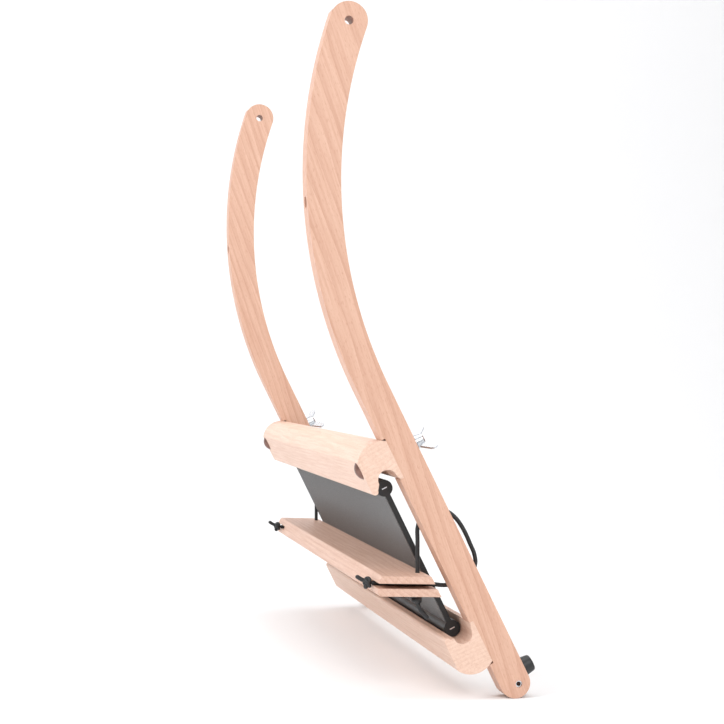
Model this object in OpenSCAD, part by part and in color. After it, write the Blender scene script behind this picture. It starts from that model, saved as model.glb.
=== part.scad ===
// Hanging beater of a table loom, with its reed and shuttle race board.
// X points to the weaver's right, Y away from the weaver and Z up. The origin is on the pivot axis, midway
// between the arms. The arms hang at the lean that the beater takes when its feet touch the table.

/* [Arms] */
// Width over the two arms
overall_w = 500; // [420:10:640]
// Thickness of an arm
arm_t = 18; // [16:1:22]
// Width of an arm's straight part
arm_w = 22.5; // [20:0.5:27]
// Lean of the straight part from the vertical, in degrees
lean = 26.2; // [15:0.2:32]
// Height of the straight part above the foot hole
straight_l = 241; // [215:1:300]
// Radius of the bend's centre line
bend_r = 345; // [280:5:420]
// Turn of the bend, in degrees
bend_a = 45; // [30:1:55]
// Width of the arm at the pivot end
arm_end_w = 28; // [25:0.5:34]
// How much later the front edge starts to bend than the back edge
bend_lag = 5; // [2:0.5:8]
// Drop of the foot's rounding centre above the foot hole
foot_rise = 2; // [0:0.5:6]
// Diameter of the pivot hole
pivot_d = 6.5; // [5:0.5:8]
// Diameter of the blind hole in the bend's front edge
edge_hole_d = 9; // [6:0.5:10]
// Depth of the blind hole in the bend's front edge
edge_hole_l = 12; // [8:1:16]
// Depth of the rebates that take the beams
rebate = 3; // [1:0.5:5]

/* [Beams] */
// Depth of a beam from its back face to its flat front
beam_d = 25.75; // [24:0.25:30]
// Radius of a beam's domed edge
dome_r = 18; // [16.5:0.5:20]
// Height of the upper beam's dome centre above the foot hole
upper_s = 189.4; // [160:0.2:205]
// Height of the lower beam's dome centre above the foot hole
lower_s = 39.5; // [36:0.5:60]
// Radius of the groove in each beam
groove_r = 7.2; // [6.9:0.1:7.6]
// Distance from the dome centre to the groove centre, upper beam
upper_groove = 11.1; // [9:0.1:12]
// Distance from the dome centre to the groove centre, lower beam
lower_groove = 13.1; // [12:0.1:15]
// Reach of the upper beam's front lip from the dome centre
upper_front_lip = 17.3; // [15:0.1:19]
// Reach of the upper beam's back lip from the dome centre
upper_back_lip = 15; // [13:0.1:18]
// Reach of the lower beam's front lip from the dome centre
lower_front_lip = 15.8; // [14:0.1:18]
// Reach of the lower beam's back lip from the dome centre
lower_back_lip = 18; // [15:0.1:19]
// Thickness of the front lips at their tips
front_tip = 4.7; // [3:0.1:6]
// Thickness of the back lips at their tips
back_tip = 2.4; // [1.5:0.1:3]

/* [Reed] */
// Length of the reed
reed_l = 434; // [360:2:470]
// Distance between the reed's two tube centres
reed_cc = 117; // [90:1:125]
// Diameter of the tubes along the reed
baulk_d = 12.5; // [11:0.1:13]
// Spacing of the dents
dent_pitch = 2.5; // [2:0.1:4]
// Thickness of a dent
dent_t = 0.5; // [0.3:0.05:0.8]
// Depth of the dents, front to back
dent_d = 4; // [3:0.25:6]
// Width of the bar that closes each end of the reed
end_bar_w = 4; // [3:0.5:8]
// Thickness of the flat spine in each tube
spine_t = 0.8; // [0.5:0.1:1.5]
// Gap between the lower tube and the bottom of its groove
seat_gap = 0.3; // [0.1:0.1:0.8]

/* [Fasteners] */
// Diameter of the bolts that clamp the upper beam
bolt_d = 5; // [4:1:6]
// Height of the bolts above the dome centre of the upper beam
bolt_up = 2.6; // [0:0.2:5]
// Diameter of a bolt's mushroom head
head_d = 13.5; // [11:0.5:16]
// Height of a bolt's mushroom head
head_h = 3.3; // [2:0.1:4.5]
// How far a bolt reaches out behind the arm
bolt_out = 7.8; // [6:0.2:12]
// Diameter of the washers
washer_d = 10; // [9:0.5:14]
// Thickness of the washers
washer_t = 1; // [0.8:0.1:1.6]
// Height of a wing nut's hub
hub_h = 5.6; // [4:0.2:8]
// Span of a wing nut's wings
wing_span = 26; // [20:1:32]
// Turn of the wing nuts about their bolts, in degrees
wing_turn = 40; // [0:5:180]
// Running clearance between a wing nut and its bolt, on the radius
nut_clear = 0.06; // [0.02:0.02:0.1]
// Diameter of the screws that hold the lower beam
screw_d = 4; // [3:0.5:5]
// Distance of those screws below the lower beam's dome centre
screw_down = 5.5; // [0:0.5:8]

/* [Race board] */
// Thickness of the race board
board_t = 14.6; // [12:0.2:18]
// Width of the board's top face
board_w = 39.4; // [30:0.2:45]
// Fall of the board to the back, in degrees
board_tilt = 2; // [0:0.5:5]
// Height of the board's top edge at the reed, above the foot hole, along the straight part
board_s = 100.6; // [90:0.2:120]
// Gap between the board and the reed
board_gap = 0.3; // [0.2:0.1:1]
// Height of the sawn kerf in each end
kerf_h = 3.7; // [3.5:0.1:5]
// Depth of the kerf, from the end of the board
kerf_l = 40; // [30:1:60]
// Depth of the kerf's middle below the board's top
kerf_v = 7.2; // [6:0.1:9]
// Diameter of the cord holes
cord_hole_d = 3.8; // [3.6:0.1:5]

/* [Feet] */
// Height of the bumpers above the foot hole
bumper_s = 7.6; // [5:0.2:20]
// Length of a bumper
bumper_l = 8; // [5:0.5:12]
// Diameter of a bumper where it meets the arm
bumper_d = 14.4; // [10:0.2:16]
// Depth of the foot holes
foot_hole_l = 12; // [8:1:15]
// Distance of the foot holes behind the middle of the arm
foot_hole_b = 2.1; // [0:0.1:4]
// Length of the threaded inserts
insert_l = 10; // [6:0.5:11]
// How far the inserts lie below the arm's face
insert_deep = 1.5; // [0.5:0.1:3]

/* [Hidden] */
$fn = 64;

beech = [0.80, 0.62, 0.50];
zinc = [0.75, 0.76, 0.78];
bronze = [0.32, 0.26, 0.23];
black = [0.10, 0.10, 0.11];
eps = 0.01;

// The bend: one arc for each edge, both tangent to the straight part
front_r = bend_r + arm_end_w / 2;
back_r = bend_r - arm_end_w / 2;
front_c = [front_r - arm_w / 2, straight_l + bend_lag];
back_c = [back_r + arm_w / 2, straight_l];
mid_c = (front_c + back_c) / 2;
pivot = mid_c + bend_r * [-cos(bend_a), sin(bend_a)];
end_r = front_r - norm(pivot - front_c);

// Place of the foot hole's height on the straight part, so that the pivot comes to the origin
foot_y = -(pivot[0] * cos(lean) - pivot[1] * sin(lean));
foot_z = -(pivot[0] * sin(lean) + pivot[1] * cos(lean));
arm_x = overall_w / 2 - arm_t / 2;

// Beams: b is the distance behind the middle of the arm, s the height along its straight part
joint_b = -arm_w / 2 + rebate;
front_b = joint_b - beam_d;
dome_b = joint_b - 10.55;
groove_b = dome_b - 0.55;
crease = sqrt(pow(dome_r, 2) - pow(front_b - dome_b, 2));
joint_rise = sqrt(pow(dome_r, 2) - pow(joint_b - dome_b, 2));
shoulder = sqrt(pow(dome_r, 2) - pow(arm_w / 2 + dome_b, 2)) + 0.15;

// Reed
reed_b = groove_b + 0.15;
baulk_r = baulk_d / 2;
low_s = lower_s + lower_groove - groove_r + seat_gap + baulk_r;
top_s = low_s + reed_cc;
rail_h = baulk_r - spine_t / 2 - 0.6;
comb_l = reed_l - 2 * end_bar_w;
dents = floor((comb_l - dent_t) / dent_pitch / 2);

// Fasteners
bolt_r = bolt_d / 2;
bolt_s = upper_s + bolt_up;
bolt_tip = arm_w / 2 + bolt_out;
neck_w = bolt_d + 0.4;
neck_l = 3.2;
head_r = (pow(head_d / 2, 2) + pow(head_h, 2)) / (2 * head_h);
washer_b = arm_w / 2;
nut_b = washer_b + washer_t + 0.15;
screw_r = screw_d / 2;
screw_s = lower_s - screw_down;
screw_head = 4.2;
screw_tip = front_b + 4;
hole_play = 0.1;

// Board, in its own frame: u runs back from the front edge and v up from the top face
board_b = reed_b - dent_d / 2 - board_gap;
board_y = foot_y + board_b * cos(lean) - board_s * sin(lean);
board_z = foot_z + board_b * sin(lean) + board_s * cos(lean);
bevel = board_t * tan(lean + board_tilt);
cord_hole_u = board_w - 4.8;

// Cords
cord_d = 3.2;
strand_x = 225;
kerf_x = 229;
knot_d = 8;
front_knot = [kerf_x, 17.3, -407];
under_knot = [strand_x, 55, -420.2];
route = [[229, 10, -402.5], [229, 13.5, -405], [229, 18, -406.8], [229, 26, -407.3], [229, 34, -407.6],
    [229, 42, -407.9], [229, 50, -408.2], [229, 58, -408.5], [229, 66, -409], [229, 74, -410],
    [229, 82, -409.5], [229, 90, -406.5], [229, 96, -401.5], [229, 99, -394.5], [229, 98, -387],
    [229, 95, -380], [228.5, 92, -373], [228, 88.5, -366.5], [227.5, 84, -360.5], [227, 78, -356],
    [226.5, 70.5, -354], [226, 63, -356], [225.5, 58, -361.5], [225, 56, -368.5], [225, 56, -376],
    [225, 56, -384], [225, 56, -392], [225, 56, -400], [225, 56, -408], [225, 55.6, -416],
    [225, 55.2, -421], [225, 58, -428], [225, 63, -434]];

// Feet
insert_r = 2.5;
pin_r = 2;

// Points along a round stretch, from angle a0 to a1
function arc(c, r, a0, a1, n) = [for (i = [0:n]) let (a = a0 + (a1 - a0) * i / n) c + r * [cos(a), sin(a)]];

function unit(v) = v / norm(v);

module on_beater() translate([0, foot_y, foot_z]) rotate([lean, 0, 0]) children();

module on_board() translate([0, board_y, board_z]) rotate([-board_tilt, 0, 0]) translate([0, -board_w, 0])
    children();

// A section drawn in (back, up), carried along X
module prism(x0, x1) translate([x0, 0, 0]) rotate([90, 0, 90]) linear_extrude(x1 - x0) children();

// A cylinder that points backwards, from back = b0 to b1
module back_pin(x, s, b0, b1, r) translate([x, b0, s]) rotate([-90, 0, 0]) cylinder(h = b1 - b0, r = r);

module at_bolts() for (side = [-1, 1]) translate([side * arm_x, 0, 0]) children();

module arm_outline() polygon(concat(
    arc([0, foot_rise], arm_w / 2, 180, 360, 24),
    arc(back_c, back_r, 180, 180 - bend_a, 40),
    arc(pivot, end_r, 3 - bend_a, 177 - bend_a, 24),
    arc(front_c, front_r, 180 - bend_a, 180, 40)));

module arm(side) color(beech) on_beater() difference() {
    prism(side * arm_x - arm_t / 2, side * arm_x + arm_t / 2) difference() {
        arm_outline();
        translate([-arm_w, upper_s - upper_back_lip - 0.1])
            square([arm_w / 2 + rebate, upper_back_lip + shoulder + 0.1]);
        translate([-arm_w, lower_s - shoulder]) square([arm_w / 2 + rebate, lower_back_lip + shoulder + 0.1]);
    }
    translate([side * arm_x, pivot[0], pivot[1]]) rotate([0, 90, 0])
        cylinder(h = 2 * arm_t, d = pivot_d, center = true);
    translate([side * (overall_w / 2 - foot_hole_l / 2 + eps), foot_hole_b, 0]) rotate([0, 90, 0])
        cylinder(h = foot_hole_l + 2 * eps, r = insert_r + 0.05, center = true);
    translate([side * arm_x, front_c[0], front_c[1]]) rotate([-bend_a / 2, 0, 0])
        translate([0, -front_r - 1, 0]) rotate([-90, 0, 0]) cylinder(h = edge_hole_l + 1, d = edge_hole_d);
    back_pin(side * arm_x, bolt_s, -arm_w, arm_w, bolt_r + 0.25);
    back_pin(side * arm_x, screw_s, -arm_w, arm_w, screw_r + hole_play);
    translate([side * arm_x, arm_w / 2 - 2.4, screw_s]) rotate([-90, 0, 0])
        cylinder(h = 2.4 + eps, r1 = screw_r + hole_play, r2 = screw_head + hole_play);
    back_pin(side * arm_x, bumper_s, arm_w / 2 - 12.5, arm_w, pin_r + hole_play);
}

// Section of a beam, with its dome upwards and its groove open downwards, about the dome's centre
module beam_section(groove, front_lip, back_lip) polygon(concat(
    [[joint_b, -back_lip]],
    arc([dome_b, 0], dome_r, atan2(joint_rise, joint_b - dome_b), 180 - atan2(crease, dome_b - front_b), 28),
    arc([front_b + front_tip / 2, front_tip / 2 - front_lip], front_tip / 2, 180, 360, 10),
    arc([groove_b, -groove], groove_r, 180, 0, 24),
    [[joint_b - back_tip, -back_lip]]));

module upper_beam() color(beech) on_beater() difference() {
    translate([0, 0, upper_s]) prism(-overall_w / 2, overall_w / 2)
        beam_section(upper_groove, upper_front_lip, upper_back_lip);
    at_bolts() {
        back_pin(0, bolt_s, front_b - 1, 0, bolt_r + hole_play);
        translate([-neck_w / 2, front_b - eps, bolt_s - neck_w / 2]) cube([neck_w, neck_l + eps, neck_w]);
    }
}

module lower_beam() color(beech) on_beater() difference() {
    translate([0, 0, lower_s]) prism(-overall_w / 2, overall_w / 2)
        mirror([0, 1]) beam_section(lower_groove, lower_front_lip, lower_back_lip);
    at_bolts() back_pin(0, screw_s, screw_tip - 1, 0, screw_r + hole_play);
}

module reed_dents() color([0.72, 0.73, 0.74]) on_beater() {
    for (s = [low_s + baulk_r - rail_h, top_s - baulk_r])
        translate([-comb_l / 2, reed_b - dent_d / 2, s]) cube([comb_l, dent_d, rail_h]);
    for (i = [-dents:dents])
        translate([i * dent_pitch - dent_t / 2, reed_b - dent_d / 2, low_s + baulk_r - 1])
            cube([dent_t, dent_d, reed_cc - baulk_d + 2]);
}

module reed_end_bars() color(black) on_beater() for (side = [-1, 1])
    translate([side * (reed_l - end_bar_w) / 2 - end_bar_w / 2, reed_b - dent_d / 2, low_s + baulk_r - rail_h])
        cube([end_bar_w, dent_d, reed_cc - baulk_d + 2 * rail_h]);

// A tube of the reed, with the slots for the comb and the spine
module baulk(s, up) color(black) on_beater() difference() {
    translate([-reed_l / 2, reed_b, s]) rotate([0, 90, 0]) cylinder(h = reed_l, r = baulk_r);
    translate([-reed_l, reed_b - dent_d / 2, s + (up > 0 ? baulk_r - rail_h : -baulk_r - 1)])
        cube([2 * reed_l, dent_d, rail_h + 1]);
    translate([-reed_l, reed_b - dent_d / 2, s - spine_t / 2]) cube([2 * reed_l, dent_d, spine_t]);
}

module reed_top_baulk() baulk(top_s, -1);

module reed_bottom_baulk() baulk(low_s, 1);

module reed_spines() color(zinc) on_beater() for (s = [low_s, top_s])
    translate([-reed_l / 2, reed_b - dent_d / 2, s - spine_t / 2]) cube([reed_l, dent_d, spine_t]);

module bolt(side) color(bronze) on_beater() translate([side * arm_x, 0, bolt_s]) {
    translate([0, front_b, 0]) rotate([90, 0, 0]) rotate_extrude() intersection() {
        translate([0, head_h - head_r]) circle(r = head_r);
        square([head_d, head_h]);
    }
    translate([-neck_w / 2, front_b, -neck_w / 2]) cube([neck_w, neck_l, neck_w]);
    back_pin(0, 0, front_b, bolt_tip, bolt_r);
}

module bolt_washers() color(zinc) on_beater() at_bolts() difference() {
    back_pin(0, bolt_s, washer_b, washer_b + washer_t, washer_d / 2);
    back_pin(0, bolt_s, washer_b - 1, washer_b + washer_t + 1, bolt_r + 0.25);
}

// One wing, drawn in (distance from the axis, height above the nut's seat)
module wing() polygon([[3, 0.6], [6, 1.4], [wing_span / 2 - 0.8, 7.2], [wing_span / 2, 8.8],
    [wing_span / 2 - 0.1, 10.8], [wing_span / 2 - 1, 12.2], [wing_span / 2 - 2.6, 12.4],
    [wing_span / 2 - 4.2, 11.2], [4, 5.4], [3, 5]]);

module wing_nut(side) color(zinc) on_beater() translate([side * arm_x, nut_b, bolt_s]) rotate([-90, 0, 0])
    rotate([0, 0, wing_turn]) difference() {
        union() {
            cylinder(h = hub_h, r1 = 5.5, r2 = 4.5);
            for (a = [0, 180]) rotate([90, 0, a]) translate([0, 0, -1]) linear_extrude(2) wing();
        }
        translate([0, 0, -1]) cylinder(h = 20, r = bolt_r + nut_clear);
    }

module lower_beam_screws() color(zinc) on_beater() at_bolts() {
    back_pin(0, screw_s, screw_tip, arm_w / 2 - 1, screw_r);
    translate([0, arm_w / 2 - 2.4, screw_s]) rotate([-90, 0, 0]) cylinder(h = 2.4, r1 = screw_r, r2 = screw_head);
}

module race_board() color(beech) on_board() difference() {
    prism(-overall_w / 2, overall_w / 2) polygon([[board_w, 0], [3.3, 0], [2.2, -1.2], [1.2, -3.4], [0.5, -6.4],
        [0.1, -9.4], [0.2, 1.8 - board_t], [0.9, 0.7 - board_t], [2.4, -board_t], [board_w + bevel, -board_t]]);
    for (side = [-1, 1]) {
        translate([side * overall_w / 2 - kerf_l, -10, -kerf_v - kerf_h / 2])
            cube([2 * kerf_l, board_w + bevel + 20, kerf_h]);
        translate([side * strand_x, cord_hole_u, -board_t - 1]) cylinder(h = board_t + 2, d = cord_hole_d);
    }
}

// A cord swept along the route, with rings square to it
module cord_tube() {
    sides = 8;
    last = len(route) - 1;
    points = [for (i = [0:last]) let (
            t = unit(route[min(i + 1, last)] - route[max(i - 1, 0)]),
            n = unit([1, 0, 0] - t[0] * t),
            m = cross(t, n))
        for (k = [0:sides - 1]) route[i] + cord_d / 2 * (cos(360 * k / sides) * n + sin(360 * k / sides) * m)];
    walls = [for (i = [0:last - 1], k = [0:sides - 1]) let (a = i * sides + k, b = i * sides + (k + 1) % sides)
        each [[a, a + sides, b], [b, a + sides, b + sides]]];
    polyhedron(points, concat(walls, [[for (k = [0:sides - 1]) k],
        [for (k = [sides - 1:-1:0]) last * sides + k]]), convexity = 6);
}

module right_cord() color(black) cord_tube();

module left_cord() color(black) mirror([1, 0, 0]) cord_tube();

module knot(place, side) color(black) translate([side * place[0], place[1], place[2]]) sphere(d = knot_d);

module bumper(side) color(black) on_beater() translate([side * arm_x, arm_w / 2 + 0.05, bumper_s])
    rotate([-90, 0, 0]) difference() {
        rotate_extrude() polygon(concat([[0, 0], [bumper_d / 2, 0]],
            arc([bumper_d / 2 - 2.6, bumper_l - 1.6], 1.6, 10, 90, 8), [[0, bumper_l]]));
        translate([0, 0, -1]) cylinder(h = bumper_l + 2, r = pin_r + hole_play);
        translate([0, 0, bumper_l - 3]) cylinder(h = 4, r = 4);
    }

module bumper_screws() color(zinc) on_beater() at_bolts() {
    back_pin(0, bumper_s, arm_w / 2 - 12, arm_w / 2 + bumper_l - 2, pin_r);
    back_pin(0, bumper_s, arm_w / 2 + bumper_l - 2.9, arm_w / 2 + bumper_l - 0.8, 3.6);
}

module foot_inserts() color(zinc) on_beater() for (side = [-1, 1])
    translate([side * (overall_w / 2 - insert_deep - insert_l / 2), foot_hole_b, 0]) rotate([0, 90, 0])
        difference() {
            cylinder(h = insert_l, r = insert_r, center = true);
            cylinder(h = insert_l + 1, r = 1.65, center = true);
        }

arm(1);  // right_arm
arm(-1);  // left_arm
upper_beam();
lower_beam();
reed_dents();
reed_end_bars();
reed_top_baulk();
reed_bottom_baulk();
reed_spines();
bolt(1);  // right_bolt
bolt(-1);  // left_bolt
bolt_washers();
wing_nut(1);  // right_wing_nut
wing_nut(-1);  // left_wing_nut
lower_beam_screws();
race_board();
right_cord();
left_cord();
knot(front_knot, 1);  // right_front_knot
knot(front_knot, -1);  // left_front_knot
knot(under_knot, 1);  // right_under_knot
knot(under_knot, -1);  // left_under_knot
bumper(1);  // right_bumper
bumper(-1);  // left_bumper
bumper_screws();
foot_inserts();
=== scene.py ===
import math

import bpy
import numpy as np
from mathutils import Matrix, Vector


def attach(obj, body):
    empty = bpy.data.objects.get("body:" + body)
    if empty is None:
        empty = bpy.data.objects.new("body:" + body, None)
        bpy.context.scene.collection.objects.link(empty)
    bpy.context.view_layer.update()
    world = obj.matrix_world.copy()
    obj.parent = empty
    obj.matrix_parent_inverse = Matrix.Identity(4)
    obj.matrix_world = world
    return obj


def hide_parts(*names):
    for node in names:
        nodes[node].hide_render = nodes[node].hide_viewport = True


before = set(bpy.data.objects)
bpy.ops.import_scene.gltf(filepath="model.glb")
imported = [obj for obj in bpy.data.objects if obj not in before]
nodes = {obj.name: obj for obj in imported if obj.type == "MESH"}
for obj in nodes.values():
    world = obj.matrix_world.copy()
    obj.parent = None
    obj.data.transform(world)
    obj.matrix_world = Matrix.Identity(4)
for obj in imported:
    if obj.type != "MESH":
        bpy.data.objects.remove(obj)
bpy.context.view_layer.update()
scene = bpy.context.scene
scene.view_settings.view_transform = "Standard"
print("frame loaded:", len(nodes), "nodes")

# Camera, close to level with the reed and a little in front of the right arm's side
camera = {
    "place": (1.4487, -0.2258, -0.2523),
    "towards": (-0.981275, 0.192515, 0.005411),
    "lens": 84.53,
    "sensor": 36,
    "nearest": 0.05,
    "furthest": 50,
}


def makeCamera(settings):
    data = bpy.data.cameras.new("camera")
    data.lens = settings["lens"]
    data.sensor_width = settings["sensor"]
    data.clip_start = settings["nearest"]
    data.clip_end = settings["furthest"]
    eye = bpy.data.objects.new("camera", data)
    scene.collection.objects.link(eye)
    eye.location = settings["place"]
    eye.rotation_mode = "QUATERNION"
    eye.rotation_quaternion = Vector(settings["towards"]).to_track_quat("-Z", "Y")
    scene.camera = eye


makeCamera(camera)
print("camera placed")


# Colours are written as they look on screen, from 0 to 255, and turned to linear light here
def tone(red, green, blue):
    c = np.array([red, green, blue]) / 255
    linear = np.where(c <= 0.04045, c / 12.92, ((c + 0.055) / 1.055) ** 2.4)
    return (*[float(v) for v in linear], 1.0)


def addNode(tree, kind, inputs=None, **settings):
    node = tree.nodes.new(kind)
    for key, value in settings.items():
        setattr(node, key, value)
    for key, value in (inputs or {}).items():
        if isinstance(value, bpy.types.NodeSocket):
            tree.links.new(value, node.inputs[key])
        else:
            node.inputs[key].default_value = value
    return node


def mathNode(tree, operation, first, second=0.0, third=0.0):
    return addNode(tree, "ShaderNodeMath", {0: first, 1: second, 2: third}, operation=operation).outputs[0]


# The numbers are the places of the factor and the two colours among the node's inputs
def mixColour(tree, amount, first, second):
    mix = addNode(tree, "ShaderNodeMix", data_type="RGBA")
    for place, value in ((0, amount), (6, first), (7, second)):
        if isinstance(value, bpy.types.NodeSocket):
            tree.links.new(value, mix.inputs[place])
        else:
            mix.inputs[place].default_value = value
    return mix.outputs[2]


def mapRange(tree, value, low, high, outLow=0.0, outHigh=1.0):
    return addNode(tree, "ShaderNodeMapRange", {"Value": value, "From Min": low, "From Max": high,
                                                "To Min": outLow, "To Max": outHigh}).outputs[0]


def newGroup(name, inputs, outputs):
    group = bpy.data.node_groups.new(name, "ShaderNodeTree")
    for title, kind, value in inputs:
        socket = group.interface.new_socket(title, in_out="INPUT", socket_type=kind)
        if value is not None:
            socket.default_value = value
    for title in outputs:
        group.interface.new_socket(title, in_out="OUTPUT", socket_type="NodeSocketFloat")
    return group, group.nodes.new("NodeGroupInput"), group.nodes.new("NodeGroupOutput")


# Solid beech with its grain along X: growth rings round a distant heart, fine fibre streaks along the grain
# and the short dark flecks of the wood's rays. Scales are noise cells per metre along X, Y and Z
grainShape = {
    "driftScale": (5, 22, 22),
    "driftReach": 0.012,
    "ringPower": 3.0,
    "fibreScale": (18, 520, 520),
    "fibreRoughness": 0.6,
    "rayScale": (260, 1500, 1500),
    "rayRange": (0.60, 0.68),
    "rayDepth": 0.5,
}


def beechGrainGroup(settings):
    group, ins, outs = newGroup(
        "beechGrain",
        [("Vector", "NodeSocketVector", None), ("Ring Width", "NodeSocketFloat", 0.0032),
         ("Heart Y", "NodeSocketFloat", 0.05), ("Heart Z", "NodeSocketFloat", 0.04)],
        ["Rings", "Streaks", "Flecks", "Height"])
    place = ins.outputs["Vector"]
    split = addNode(group, "ShaderNodeSeparateXYZ", {0: place})
    slow = addNode(group, "ShaderNodeMapping", {"Vector": place, "Scale": settings["driftScale"]})
    drift = addNode(group, "ShaderNodeTexNoise", {"Vector": slow.outputs[0], "Scale": 1.0, "Detail": 2.0})
    across = mathNode(group, "SUBTRACT", split.outputs[1], ins.outputs["Heart Y"])
    up = mathNode(group, "SUBTRACT", split.outputs[2], ins.outputs["Heart Z"])
    reach = mathNode(group, "SQRT", mathNode(group, "ADD", mathNode(group, "MULTIPLY", across, across),
                                             mathNode(group, "MULTIPLY", up, up)))
    bent = mathNode(group, "MULTIPLY_ADD", drift.outputs[0], settings["driftReach"], reach)
    count = mathNode(group, "DIVIDE", bent, ins.outputs["Ring Width"])
    saw = mathNode(group, "FRACT", count)
    rings = mathNode(group, "POWER", saw, settings["ringPower"])  # darkens slowly, then starts again
    fibre = addNode(group, "ShaderNodeMapping", {"Vector": place, "Scale": settings["fibreScale"]})
    streak = addNode(group, "ShaderNodeTexNoise", {"Vector": fibre.outputs[0], "Scale": 1.0, "Detail": 3.0,
                                                   "Roughness": settings["fibreRoughness"]})
    ray = addNode(group, "ShaderNodeMapping", {"Vector": place, "Scale": settings["rayScale"]})
    fleck = addNode(group, "ShaderNodeTexNoise", {"Vector": ray.outputs[0], "Scale": 1.0, "Detail": 1.0})
    flecks = mapRange(group, fleck.outputs[0], *settings["rayRange"])
    sunk = mathNode(group, "MULTIPLY", flecks, settings["rayDepth"])
    height = mathNode(group, "SUBTRACT", streak.outputs[0], sunk)
    for title, value in (("Rings", rings), ("Streaks", streak.outputs[0]), ("Flecks", flecks),
                         ("Height", height)):
        group.links.new(value, outs.inputs[title])
    return group


beechGrain = beechGrainGroup(grainShape)


def newMaterial(name):
    material = bpy.data.materials.new(name)
    material.use_nodes = True
    tree = material.node_tree
    shader = tree.nodes["Principled BSDF"]
    return material, tree, shader


# Oiled finish of all the beech
woodFinish = {
    "streakRange": (0.35, 0.68),
    "fleckShare": 0.35,
    "glossRange": (0.2, 0.8),
    "roughness": (0.42, 0.52),
    "bump": 0.25,
    "bumpHeight": 0.0002,
}


def beechMaterial(name, settings, finish):
    material, tree, shader = newMaterial(name)
    where = addNode(tree, "ShaderNodeTexCoord").outputs["Object"]
    turned = addNode(tree, "ShaderNodeMapping", {"Vector": where, "Rotation": settings["turn"]})
    grain = addNode(tree, "ShaderNodeGroup", node_tree=beechGrain)
    tree.links.new(turned.outputs[0], grain.inputs["Vector"])
    grain.inputs["Ring Width"].default_value = settings["ringWidth"]
    grain.inputs["Heart Y"].default_value = settings["heart"][0]
    grain.inputs["Heart Z"].default_value = settings["heart"][1]
    streaks = mapRange(tree, grain.outputs["Streaks"], *finish["streakRange"])
    pale = mixColour(tree, streaks, settings["pale"], settings["middle"])
    ringAmount = mathNode(tree, "MULTIPLY", grain.outputs["Rings"], settings["ringShare"])
    ringed = mixColour(tree, ringAmount, pale, settings["dark"])
    fleckAmount = mathNode(tree, "MULTIPLY", grain.outputs["Flecks"], finish["fleckShare"])
    flecked = mixColour(tree, fleckAmount, ringed, settings["dark"])
    tree.links.new(flecked, shader.inputs["Base Color"])
    dullness = mapRange(tree, grain.outputs["Streaks"], *finish["glossRange"], *finish["roughness"])
    tree.links.new(dullness, shader.inputs["Roughness"])
    bump = addNode(tree, "ShaderNodeBump", {"Height": grain.outputs["Height"], "Strength": finish["bump"],
                                            "Distance": finish["bumpHeight"]})
    tree.links.new(bump.outputs[0], shader.inputs["Normal"])
    return material


armWood = {"turn": (math.radians(-19), math.radians(90), 0), "ringWidth": 0.0042, "heart": (0.09, 0.07),
           "ringShare": 0.38, "pale": tone(212, 172, 150), "middle": tone(201, 157, 134),
           "dark": tone(176, 124, 98)}
beamWood = {"turn": (0, 0, 0), "ringWidth": 0.003, "heart": (-0.05, -0.20), "ringShare": 0.22,
            "pale": tone(226, 196, 178), "middle": tone(216, 182, 162), "dark": tone(190, 143, 119)}
boardWood = {"turn": (0, 0, 0), "ringWidth": 0.0034, "heart": (0.11, -0.33), "ringShare": 0.35,
             "pale": tone(214, 180, 162), "middle": tone(202, 164, 143), "dark": tone(172, 120, 96)}
armBeech = beechMaterial("armBeech", armWood, woodFinish)
beamBeech = beechMaterial("beamBeech", beamWood, woodFinish)
boardBeech = beechMaterial("boardBeech", boardWood, woodFinish)


# Plated or bare metal: fine scratches in all directions and a slow cloudiness of the finish
metalFinish = {
    "cloudRange": (0.3, 0.7),
    "smoother": 0.05,
    "rougher": 0.08,
    "scratchScale": 2600.0,
    "scratchBump": 0.12,
    "scratchHeight": 0.00005,
}


def metalMaterial(name, colour, dull, roughness, cloud, finish=metalFinish):
    material, tree, shader = newMaterial(name)
    where = addNode(tree, "ShaderNodeTexCoord").outputs["Object"]
    clouds = addNode(tree, "ShaderNodeTexNoise", {"Vector": where, "Scale": cloud, "Detail": 4.0})
    scratch = addNode(tree, "ShaderNodeTexNoise", {"Vector": where, "Scale": finish["scratchScale"],
                                                   "Detail": 2.0})
    tree.links.new(mixColour(tree, clouds.outputs[0], colour, dull), shader.inputs["Base Color"])
    dullness = mapRange(tree, clouds.outputs[0], *finish["cloudRange"], roughness - finish["smoother"],
                        roughness + finish["rougher"])
    tree.links.new(dullness, shader.inputs["Roughness"])
    shader.inputs["Metallic"].default_value = 1.0
    bump = addNode(tree, "ShaderNodeBump", {"Height": scratch.outputs[0], "Strength": finish["scratchBump"],
                                            "Distance": finish["scratchHeight"]})
    tree.links.new(bump.outputs[0], shader.inputs["Normal"])
    return material


zincPlate = metalMaterial("zincPlate", tone(222, 224, 226), tone(190, 194, 200), 0.24, 500)
reedSteel = metalMaterial("reedSteel", tone(182, 183, 184), tone(160, 161, 162), 0.46, 900)
brownedSteel = metalMaterial("brownedSteel", tone(150, 118, 108), tone(105, 78, 70), 0.34, 420)


# Matt and half-matt black: plain tube, rubber and cord, all with one fine noise
blackFinish = {
    "fineRange": (0.3, 0.7),
    "spread": 0.06,
    "bump": 0.2,
    "bumpHeight": 0.0001,
}


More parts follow.
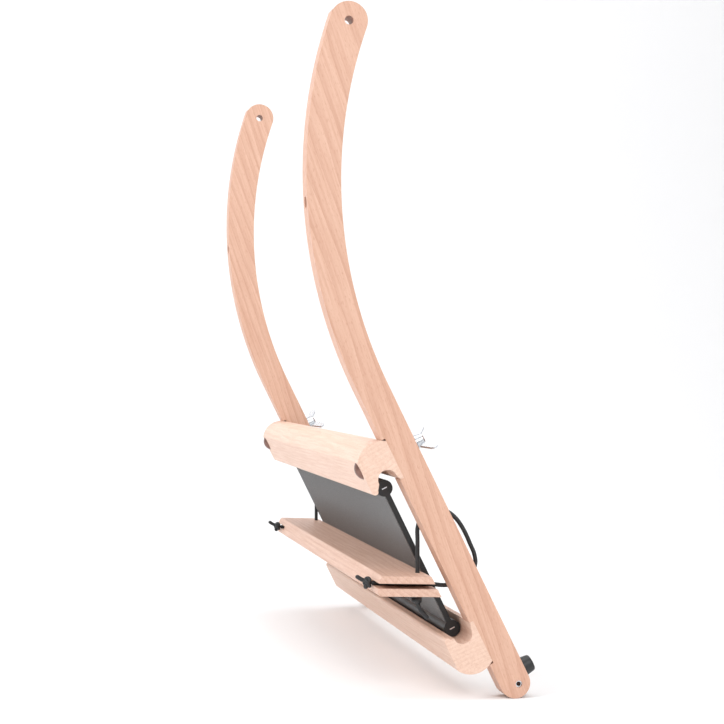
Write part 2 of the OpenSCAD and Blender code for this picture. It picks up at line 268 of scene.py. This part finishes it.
def blackMaterial(name, colour, worn, roughness, scale, finish=blackFinish):
    material, tree, shader = newMaterial(name)
    where = addNode(tree, "ShaderNodeTexCoord").outputs["Object"]
    fine = addNode(tree, "ShaderNodeTexNoise", {"Vector": where, "Scale": scale, "Detail": 3.0})
    tree.links.new(mixColour(tree, fine.outputs[0], colour, worn), shader.inputs["Base Color"])
    dullness = mapRange(tree, fine.outputs[0], *finish["fineRange"], roughness - finish["spread"],
                        roughness + finish["spread"])
    tree.links.new(dullness, shader.inputs["Roughness"])
    bump = addNode(tree, "ShaderNodeBump", {"Height": fine.outputs[0], "Strength": finish["bump"],
                                            "Distance": finish["bumpHeight"]})
    tree.links.new(bump.outputs[0], shader.inputs["Normal"])
    return material


blackTube = blackMaterial("blackTube", tone(26, 28, 30), tone(38, 40, 42), 0.5, 1500)
blackRubber = blackMaterial("blackRubber", tone(24, 26, 27), tone(36, 37, 38), 0.38, 900)
braidBlack = blackMaterial("braidBlack", tone(22, 24, 26), tone(44, 46, 48), 0.55, 2200)

nodeMaterials = {
    "right_arm": armBeech, "left_arm": armBeech, "upper_beam": beamBeech, "lower_beam": beamBeech,
    "race_board": boardBeech, "reed_dents": reedSteel, "reed_end_bars": blackTube, "reed_top_baulk": blackTube,
    "reed_bottom_baulk": blackTube, "reed_spines": zincPlate, "right_bolt": brownedSteel,
    "left_bolt": brownedSteel, "bolt_washers": zincPlate, "right_wing_nut": zincPlate,
    "left_wing_nut": zincPlate, "lower_beam_screws": zincPlate, "right_bumper": blackRubber,
    "left_bumper": blackRubber, "bumper_screws": zincPlate, "foot_inserts": zincPlate,
}
for name, material in nodeMaterials.items():
    data = nodes[name].data
    data.materials.clear()
    data.materials.append(material)
print("materials made")


sharpAngle = math.radians(35)


# A smooth mesh, with the edges kept sharp that turn by more than the sharp angle
def meshObject(name, points, faces, material):
    mesh = bpy.data.meshes.new(name)
    mesh.from_pydata([tuple(p) for p in np.asarray(points).tolist()], [], [tuple(f) for f in faces])
    mesh.materials.append(material)
    mesh.update()
    mesh.polygons.foreach_set("use_smooth", [True] * len(mesh.polygons))
    mesh.set_sharp_from_angle(angle=sharpAngle)
    thing = bpy.data.objects.new(name, mesh)
    scene.collection.objects.link(thing)
    return thing


# A smooth line through the given points: on each stretch a cubic whose ends share the slope of their neighbours
def smoothLine(points, perStretch):
    p = np.asarray(points, float)
    p = np.vstack([2 * p[0] - p[1], p, 2 * p[-1] - p[-2]])
    t = (np.arange(perStretch) / perStretch)[None, :, None]
    a, b, c, d = (p[i:len(p) - 3 + i, None, :] for i in range(4))
    line = 0.5 * (2 * b + (c - a) * t + (2 * a - 5 * b + 4 * c - d) * t**2 + (3 * b - a - 3 * c + d) * t**3)
    return np.vstack([line.reshape(-1, 3), p[-2]])


# A round tube along a line, radius times a circle square to the line at each point, with rounded ends
def tubeShape(line, radius, sides):
    line = np.asarray(line, float)
    step = np.gradient(line, axis=0)
    along = step / np.linalg.norm(step, axis=1)[:, None]
    side = np.cross(along[0], [0.3, 0.8, 0.5])
    sideways = []
    for direction in along:  # the side direction is carried along without twisting
        side = side - side.dot(direction) * direction
        side = side / np.linalg.norm(side)
        sideways.append(side)
    u = np.array(sideways)
    v = np.cross(along, u)
    cap = np.radians([68, 45, 22])
    reach = radius * np.sin(cap)[:, None]
    shrunk = radius * np.cos(cap)
    centres = np.vstack([line[0] - along[0] * reach, line, line[-1] + along[-1] * reach[::-1]])
    radii = np.concatenate([shrunk, np.full(len(line), radius), shrunk[::-1]])
    pick = np.concatenate([[0] * len(cap), np.arange(len(line)), [len(line) - 1] * len(cap)])
    turn = np.arange(sides) * 2 * math.pi / sides
    rings = centres[:, None] + radii[:, None, None] * (
        np.cos(turn)[None, :, None] * u[pick][:, None] + np.sin(turn)[None, :, None] * v[pick][:, None])
    count = len(centres)
    i, k = np.meshgrid(np.arange(count - 1), np.arange(sides), indexing="ij")
    quads = np.stack([i * sides + k, i * sides + (k + 1) % sides, (i + 1) * sides + (k + 1) % sides,
                      (i + 1) * sides + k], axis=-1).reshape(-1, 4).tolist()
    poles = np.vstack([line[0] - along[0] * radius, line[-1] + along[-1] * radius])
    points = np.vstack([rings.reshape(-1, 3), poles])
    start, end = count * sides, count * sides + 1
    fans = [(start, (j + 1) % sides, j) for j in range(sides)]
    fans += [(end, (count - 1) * sides + j, (count - 1) * sides + (j + 1) % sides) for j in range(sides)]
    return points, quads + fans


# Elastic cords. Each goes from the knot before the kerf through the kerf, behind the arm, over and down
# through the hole, to the knot under the board. Points in millimetres, for the right-hand side
cords = {
    "route": [(229, 21.4, -407.1), (229, 26, -407.3), (229, 34, -407.6), (229, 42, -407.9), (229, 50, -408.2),
              (229, 58, -408.5), (229, 66, -409), (229, 74, -410), (229, 82, -409.5), (229, 90, -406.5),
              (229, 96, -401.5), (229, 99, -394.5), (229, 98, -387), (229, 95, -380), (228.5, 92, -373),
              (228, 88.5, -366.5), (227.5, 84, -360.5), (227, 78, -356), (226.5, 70.5, -354), (226, 63, -356),
              (225.5, 58, -361.5), (225, 56, -368.5), (225, 56, -376), (225, 56, -384), (225, 56, -392),
              (225, 56, -400), (225, 56, -408), (225, 55.6, -416), (225, 55.2, -421), (225, 58, -428),
              (225, 63, -434)],
    "frontTail": [(229, 19.5, -406.9), (229, 17, -406), (229, 13.5, -404.6), (229, 10, -402.5)],
    "thickness": 3.2,
    "sides": 20,
    "perStretch": 6,
    "tailShare": 0.95,
    "tailSides": 16,
    "tailPerStretch": 5,
    "knotReach": 2.5,
    "knotLobe": 0.36,
    "knotHeight": 0.62,
    "knotTube": 1.45,
    "knotPoints": 73,
    "knotSides": 12,
    "frontKnot": (229, 17.3, -407),
    "frontKnotAxis": (0, 1, 0),
    "underKnot": (225, 55, -420.2),
    "underKnotAxis": (0.1, 0.3, 1),
}


# A tightened stopper knot: a three-lobed line, whose angle round the axis runs at 2t while its height runs
# at 3t
def knotShape(centre, axis, settings):
    reach = settings["knotReach"] / 1000
    t = np.linspace(0, 2 * math.pi, settings["knotPoints"])
    out = reach * (1 + settings["knotLobe"] * np.cos(3 * t))
    height = reach * settings["knotHeight"] * np.sin(3 * t)
    local = np.stack([out * np.cos(2 * t), out * np.sin(2 * t), height], axis=1)
    turn = Vector((0, 0, 1)).rotation_difference(Vector(axis)).to_matrix()
    line = local @ np.array(turn).T + np.asarray(centre)
    return tubeShape(line, settings["knotTube"] / 1000, settings["knotSides"])


def makeCords(settings):
    for side, word in ((1, "right"), (-1, "left")):
        flip = np.array([side, 1, 1]) / 1000
        line = smoothLine(np.array(settings["route"]) * flip, settings["perStretch"])
        radius = settings["thickness"] / 2000
        points, faces = tubeShape(line, radius, settings["sides"])
        cord = meshObject(f"{word}Cord", points, faces, braidBlack)
        knots = []
        for place, label in (("frontKnot", "FrontKnot"), ("underKnot", "UnderKnot")):
            shape = knotShape(np.array(settings[place]) * flip, settings[place + "Axis"], settings)
            knots.append(meshObject(word + label, *shape, braidBlack))
        tailLine = smoothLine(np.array(settings["frontTail"]) * flip, settings["tailPerStretch"])
        tailShape = tubeShape(tailLine, radius * settings["tailShare"], settings["tailSides"])
        tail = meshObject(f"{word}FrontTail", *tailShape, braidBlack)
        tail.parent = knots[0]
        for piece in (cord, *knots):
            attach(piece, "board")
        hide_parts(f"{word}_cord")
        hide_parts(f"{word}_front_knot")
        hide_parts(f"{word}_under_knot")


makeCords(cords)
print("cords made")

# Floor that sweeps up into a backdrop behind the object
studio = {"floor": -0.4915, "near": 3.0, "back": -1.1, "bend": 0.9, "wide": 6.0, "high": 4.0,
          "bendSteps": 16, "floorTone": tone(238, 238, 239), "floorRoughness": 0.9}


def makeStudio(settings):
    bendTurn = np.linspace(0, math.pi / 2, settings["bendSteps"])
    r = settings["bend"]
    x = np.concatenate([[settings["near"]], settings["back"] - r * np.sin(bendTurn), [settings["back"] - r]])
    z = settings["floor"] + np.concatenate([[0], r * (1 - np.cos(bendTurn)), [settings["high"]]])
    y = np.array([-settings["wide"], settings["wide"]])
    points = np.stack([np.repeat(x, 2), np.tile(y, len(x)), np.repeat(z, 2)], axis=1)
    i = np.arange(len(x) - 1)[:, None] * 2
    faces = (i + np.array([[0, 2, 3, 1]])).tolist()
    material, tree, shader = newMaterial("studioPaper")
    shader.inputs["Base Color"].default_value = settings["floorTone"]
    shader.inputs["Roughness"].default_value = settings["floorRoughness"]
    sweep = meshObject("studioSweep", points, faces, material)


makeStudio(studio)

lights = {
    "world": 0.62,
    "areas": [
        {"name": "frontBox", "place": (0.5, -1.9, 1.3), "at": (0, 0, -0.25), "size": (1.6, 1.2), "power": 42},
        {"name": "sideBox", "place": (2.4, 0.2, 0.9), "at": (0, 0, -0.25), "size": (1.6, 1.6), "power": 26},
        {"name": "topBox", "place": (0.0, 0.2, 1.9), "at": (0, 0, -0.25), "size": (1.8, 1.8), "power": 24},
    ],
}


def makeLights(settings):
    world = bpy.data.worlds.new("studioWorld")
    world.use_nodes = True
    world.node_tree.nodes["Background"].inputs["Color"].default_value = (1, 1, 1, 1)
    world.node_tree.nodes["Background"].inputs["Strength"].default_value = settings["world"]
    scene.world = world
    for lamp in settings["areas"]:
        data = bpy.data.lights.new(lamp["name"], "AREA")
        data.shape = "RECTANGLE"
        data.size, data.size_y = lamp["size"]
        data.energy = lamp["power"]
        light = bpy.data.objects.new(lamp["name"], data)
        scene.collection.objects.link(light)
        light.location = lamp["place"]
        aim = Vector(lamp["at"]) - Vector(lamp["place"])
        light.rotation_mode = "QUATERNION"
        light.rotation_quaternion = aim.to_track_quat("-Z", "Y")


makeLights(lights)
print("studio and lights made")
